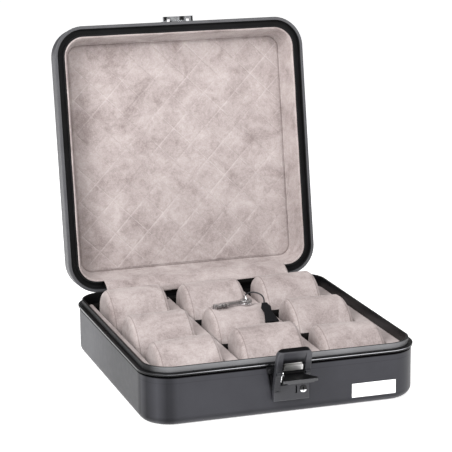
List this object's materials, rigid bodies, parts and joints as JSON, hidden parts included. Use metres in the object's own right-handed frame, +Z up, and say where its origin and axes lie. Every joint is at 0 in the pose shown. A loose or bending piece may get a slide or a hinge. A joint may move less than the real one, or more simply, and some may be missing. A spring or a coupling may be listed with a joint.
{
  "type": "watch box",
  "caption": "Square rounded metal watch box with a hinged padded lid, draw latch with key lock, and lift-out suede watch pillows in a lined tray.",
  "frame": {"origin": "middle of the flat underside, on the surface that the box stands on", "axes": "+Z up, -Y out of the front with the latch, +X to the right seen from the front"},
  "size_m": [0.2424, 0.3477, 0.2942],
  "materials": {
    "shell": "satin anodised",
    "valance": "semi-gloss black",
    "suede": "napped",
    "board": "raw",
    "black_metal": "satin black",
    "steel": "bright",
    "nickel": "polished",
    "white_plate": "matt",
    "cord": "matt",
    "tag": "matt"
  },
  "bodies": {
    "base": {"base_shell": "shell", "base_valance": "valance", "floor_board": "board", "tray": "suede", "row_dividers": "suede", "hinge_flap": "suede", "hinge_base_leaf_left": "black_metal", "hinge_base_leaf_right": "black_metal", "hinge_pin_left": "steel", "hinge_pin_right": "steel", "hinge_base_rivets": "steel", "latch_plate": "black_metal", "latch_pivot_pin": "steel", "latch_rivets": "steel", "lock_case": "black_metal", "name_plate": "white_plate"},
    "lid": {"lid_shell": "shell", "lid_valance": "valance", "lid_wall_lining": "suede", "lid_panel": "suede", "hinge_lid_leaf_left": "black_metal", "hinge_lid_leaf_right": "black_metal", "hinge_lid_rivets": "steel", "keeper": "nickel", "keeper_rivets": "nickel"},
    "latch_cover": {"latch_cover": "black_metal", "latch_hook": "nickel", "lever_pin": "steel", "latch_spring": "steel"},
    "latch_lever": {"latch_lever": "black_metal"},
    "lock_cylinder": {"lock_cylinder": "nickel"},
    "pillow_front_left": {"pillow_front_left": "suede"},
    "pillow_front_centre": {"pillow_front_centre": "suede"},
    "pillow_front_right": {"pillow_front_right": "suede"},
    "pillow_middle_left": {"pillow_middle_left": "suede"},
    "pillow_middle_centre": {"pillow_middle_centre": "suede"},
    "pillow_middle_right": {"pillow_middle_right": "suede"},
    "pillow_back_left": {"pillow_back_left": "suede"},
    "pillow_back_centre": {"pillow_back_centre": "suede"},
    "pillow_back_right": {"pillow_back_right": "suede"},
    "keys": {"key_lower": "steel", "key_upper": "steel", "key_ring": "nickel", "key_cord": "cord", "key_tag": "tag"}
  },
  "joints": [
    {"name": "lid_hinge", "type": "hinge", "parent": "base", "child": "lid", "pos_m": [0, 0.1257, 0.0449], "axis": [-1, 0, 0], "range_deg": [-99.77, 0], "deforming": ["hinge_flap"]},
    {"name": "latch_cover_pivot", "type": "hinge", "parent": "base", "child": "latch_cover", "pos_m": [0, -0.1295, 0.031], "axis": [1, 0, 0], "range_deg": [-16, 0]},
    {"name": "latch_lever_pivot", "type": "hinge", "parent": "latch_cover", "child": "latch_lever", "pos_m": [0, -0.13562, 0.03965], "axis": [1, 0, 0], "range_deg": [-74, 0]},
    {"name": "lock_turn", "type": "hinge", "parent": "base", "child": "lock_cylinder", "pos_m": [0.0116, -0.126, 0.0226], "axis": [0, -1, 0], "range_deg": [0, 90]},
    {"name": "pillow_front_left_lift", "type": "slide", "parent": "base", "child": "pillow_front_left", "axis": [0, 0, 1], "range_m": [0, 0.06]},
    {"name": "pillow_front_centre_lift", "type": "slide", "parent": "base", "child": "pillow_front_centre", "axis": [0, 0, 1], "range_m": [0, 0.06]},
    {"name": "pillow_front_right_lift", "type": "slide", "parent": "base", "child": "pillow_front_right", "axis": [0, 0, 1], "range_m": [0, 0.06]},
    {"name": "pillow_middle_left_lift", "type": "slide", "parent": "base", "child": "pillow_middle_left", "axis": [0, 0, 1], "range_m": [0, 0.06]},
    {"name": "pillow_middle_centre_lift", "type": "slide", "parent": "base", "child": "pillow_middle_centre", "axis": [0, 0, 1], "range_m": [0, 0.06]},
    {"name": "pillow_middle_right_lift", "type": "slide", "parent": "base", "child": "pillow_middle_right", "axis": [0, 0, 1], "range_m": [0, 0.06]},
    {"name": "pillow_back_left_lift", "type": "slide", "parent": "base", "child": "pillow_back_left", "axis": [0, 0, 1], "range_m": [0, 0.06]},
    {"name": "pillow_back_centre_lift", "type": "slide", "parent": "base", "child": "pillow_back_centre", "axis": [0, 0, 1], "range_m": [0, 0.06]},
    {"name": "pillow_back_right_lift", "type": "slide", "parent": "base", "child": "pillow_back_right", "axis": [0, 0, 1], "range_m": [0, 0.06]},
    {"name": "keys_lift", "type": "slide", "parent": "pillow_middle_centre", "child": "keys", "axis": [0, 0, 1], "range_m": [0, 0.06]}
  ]
}
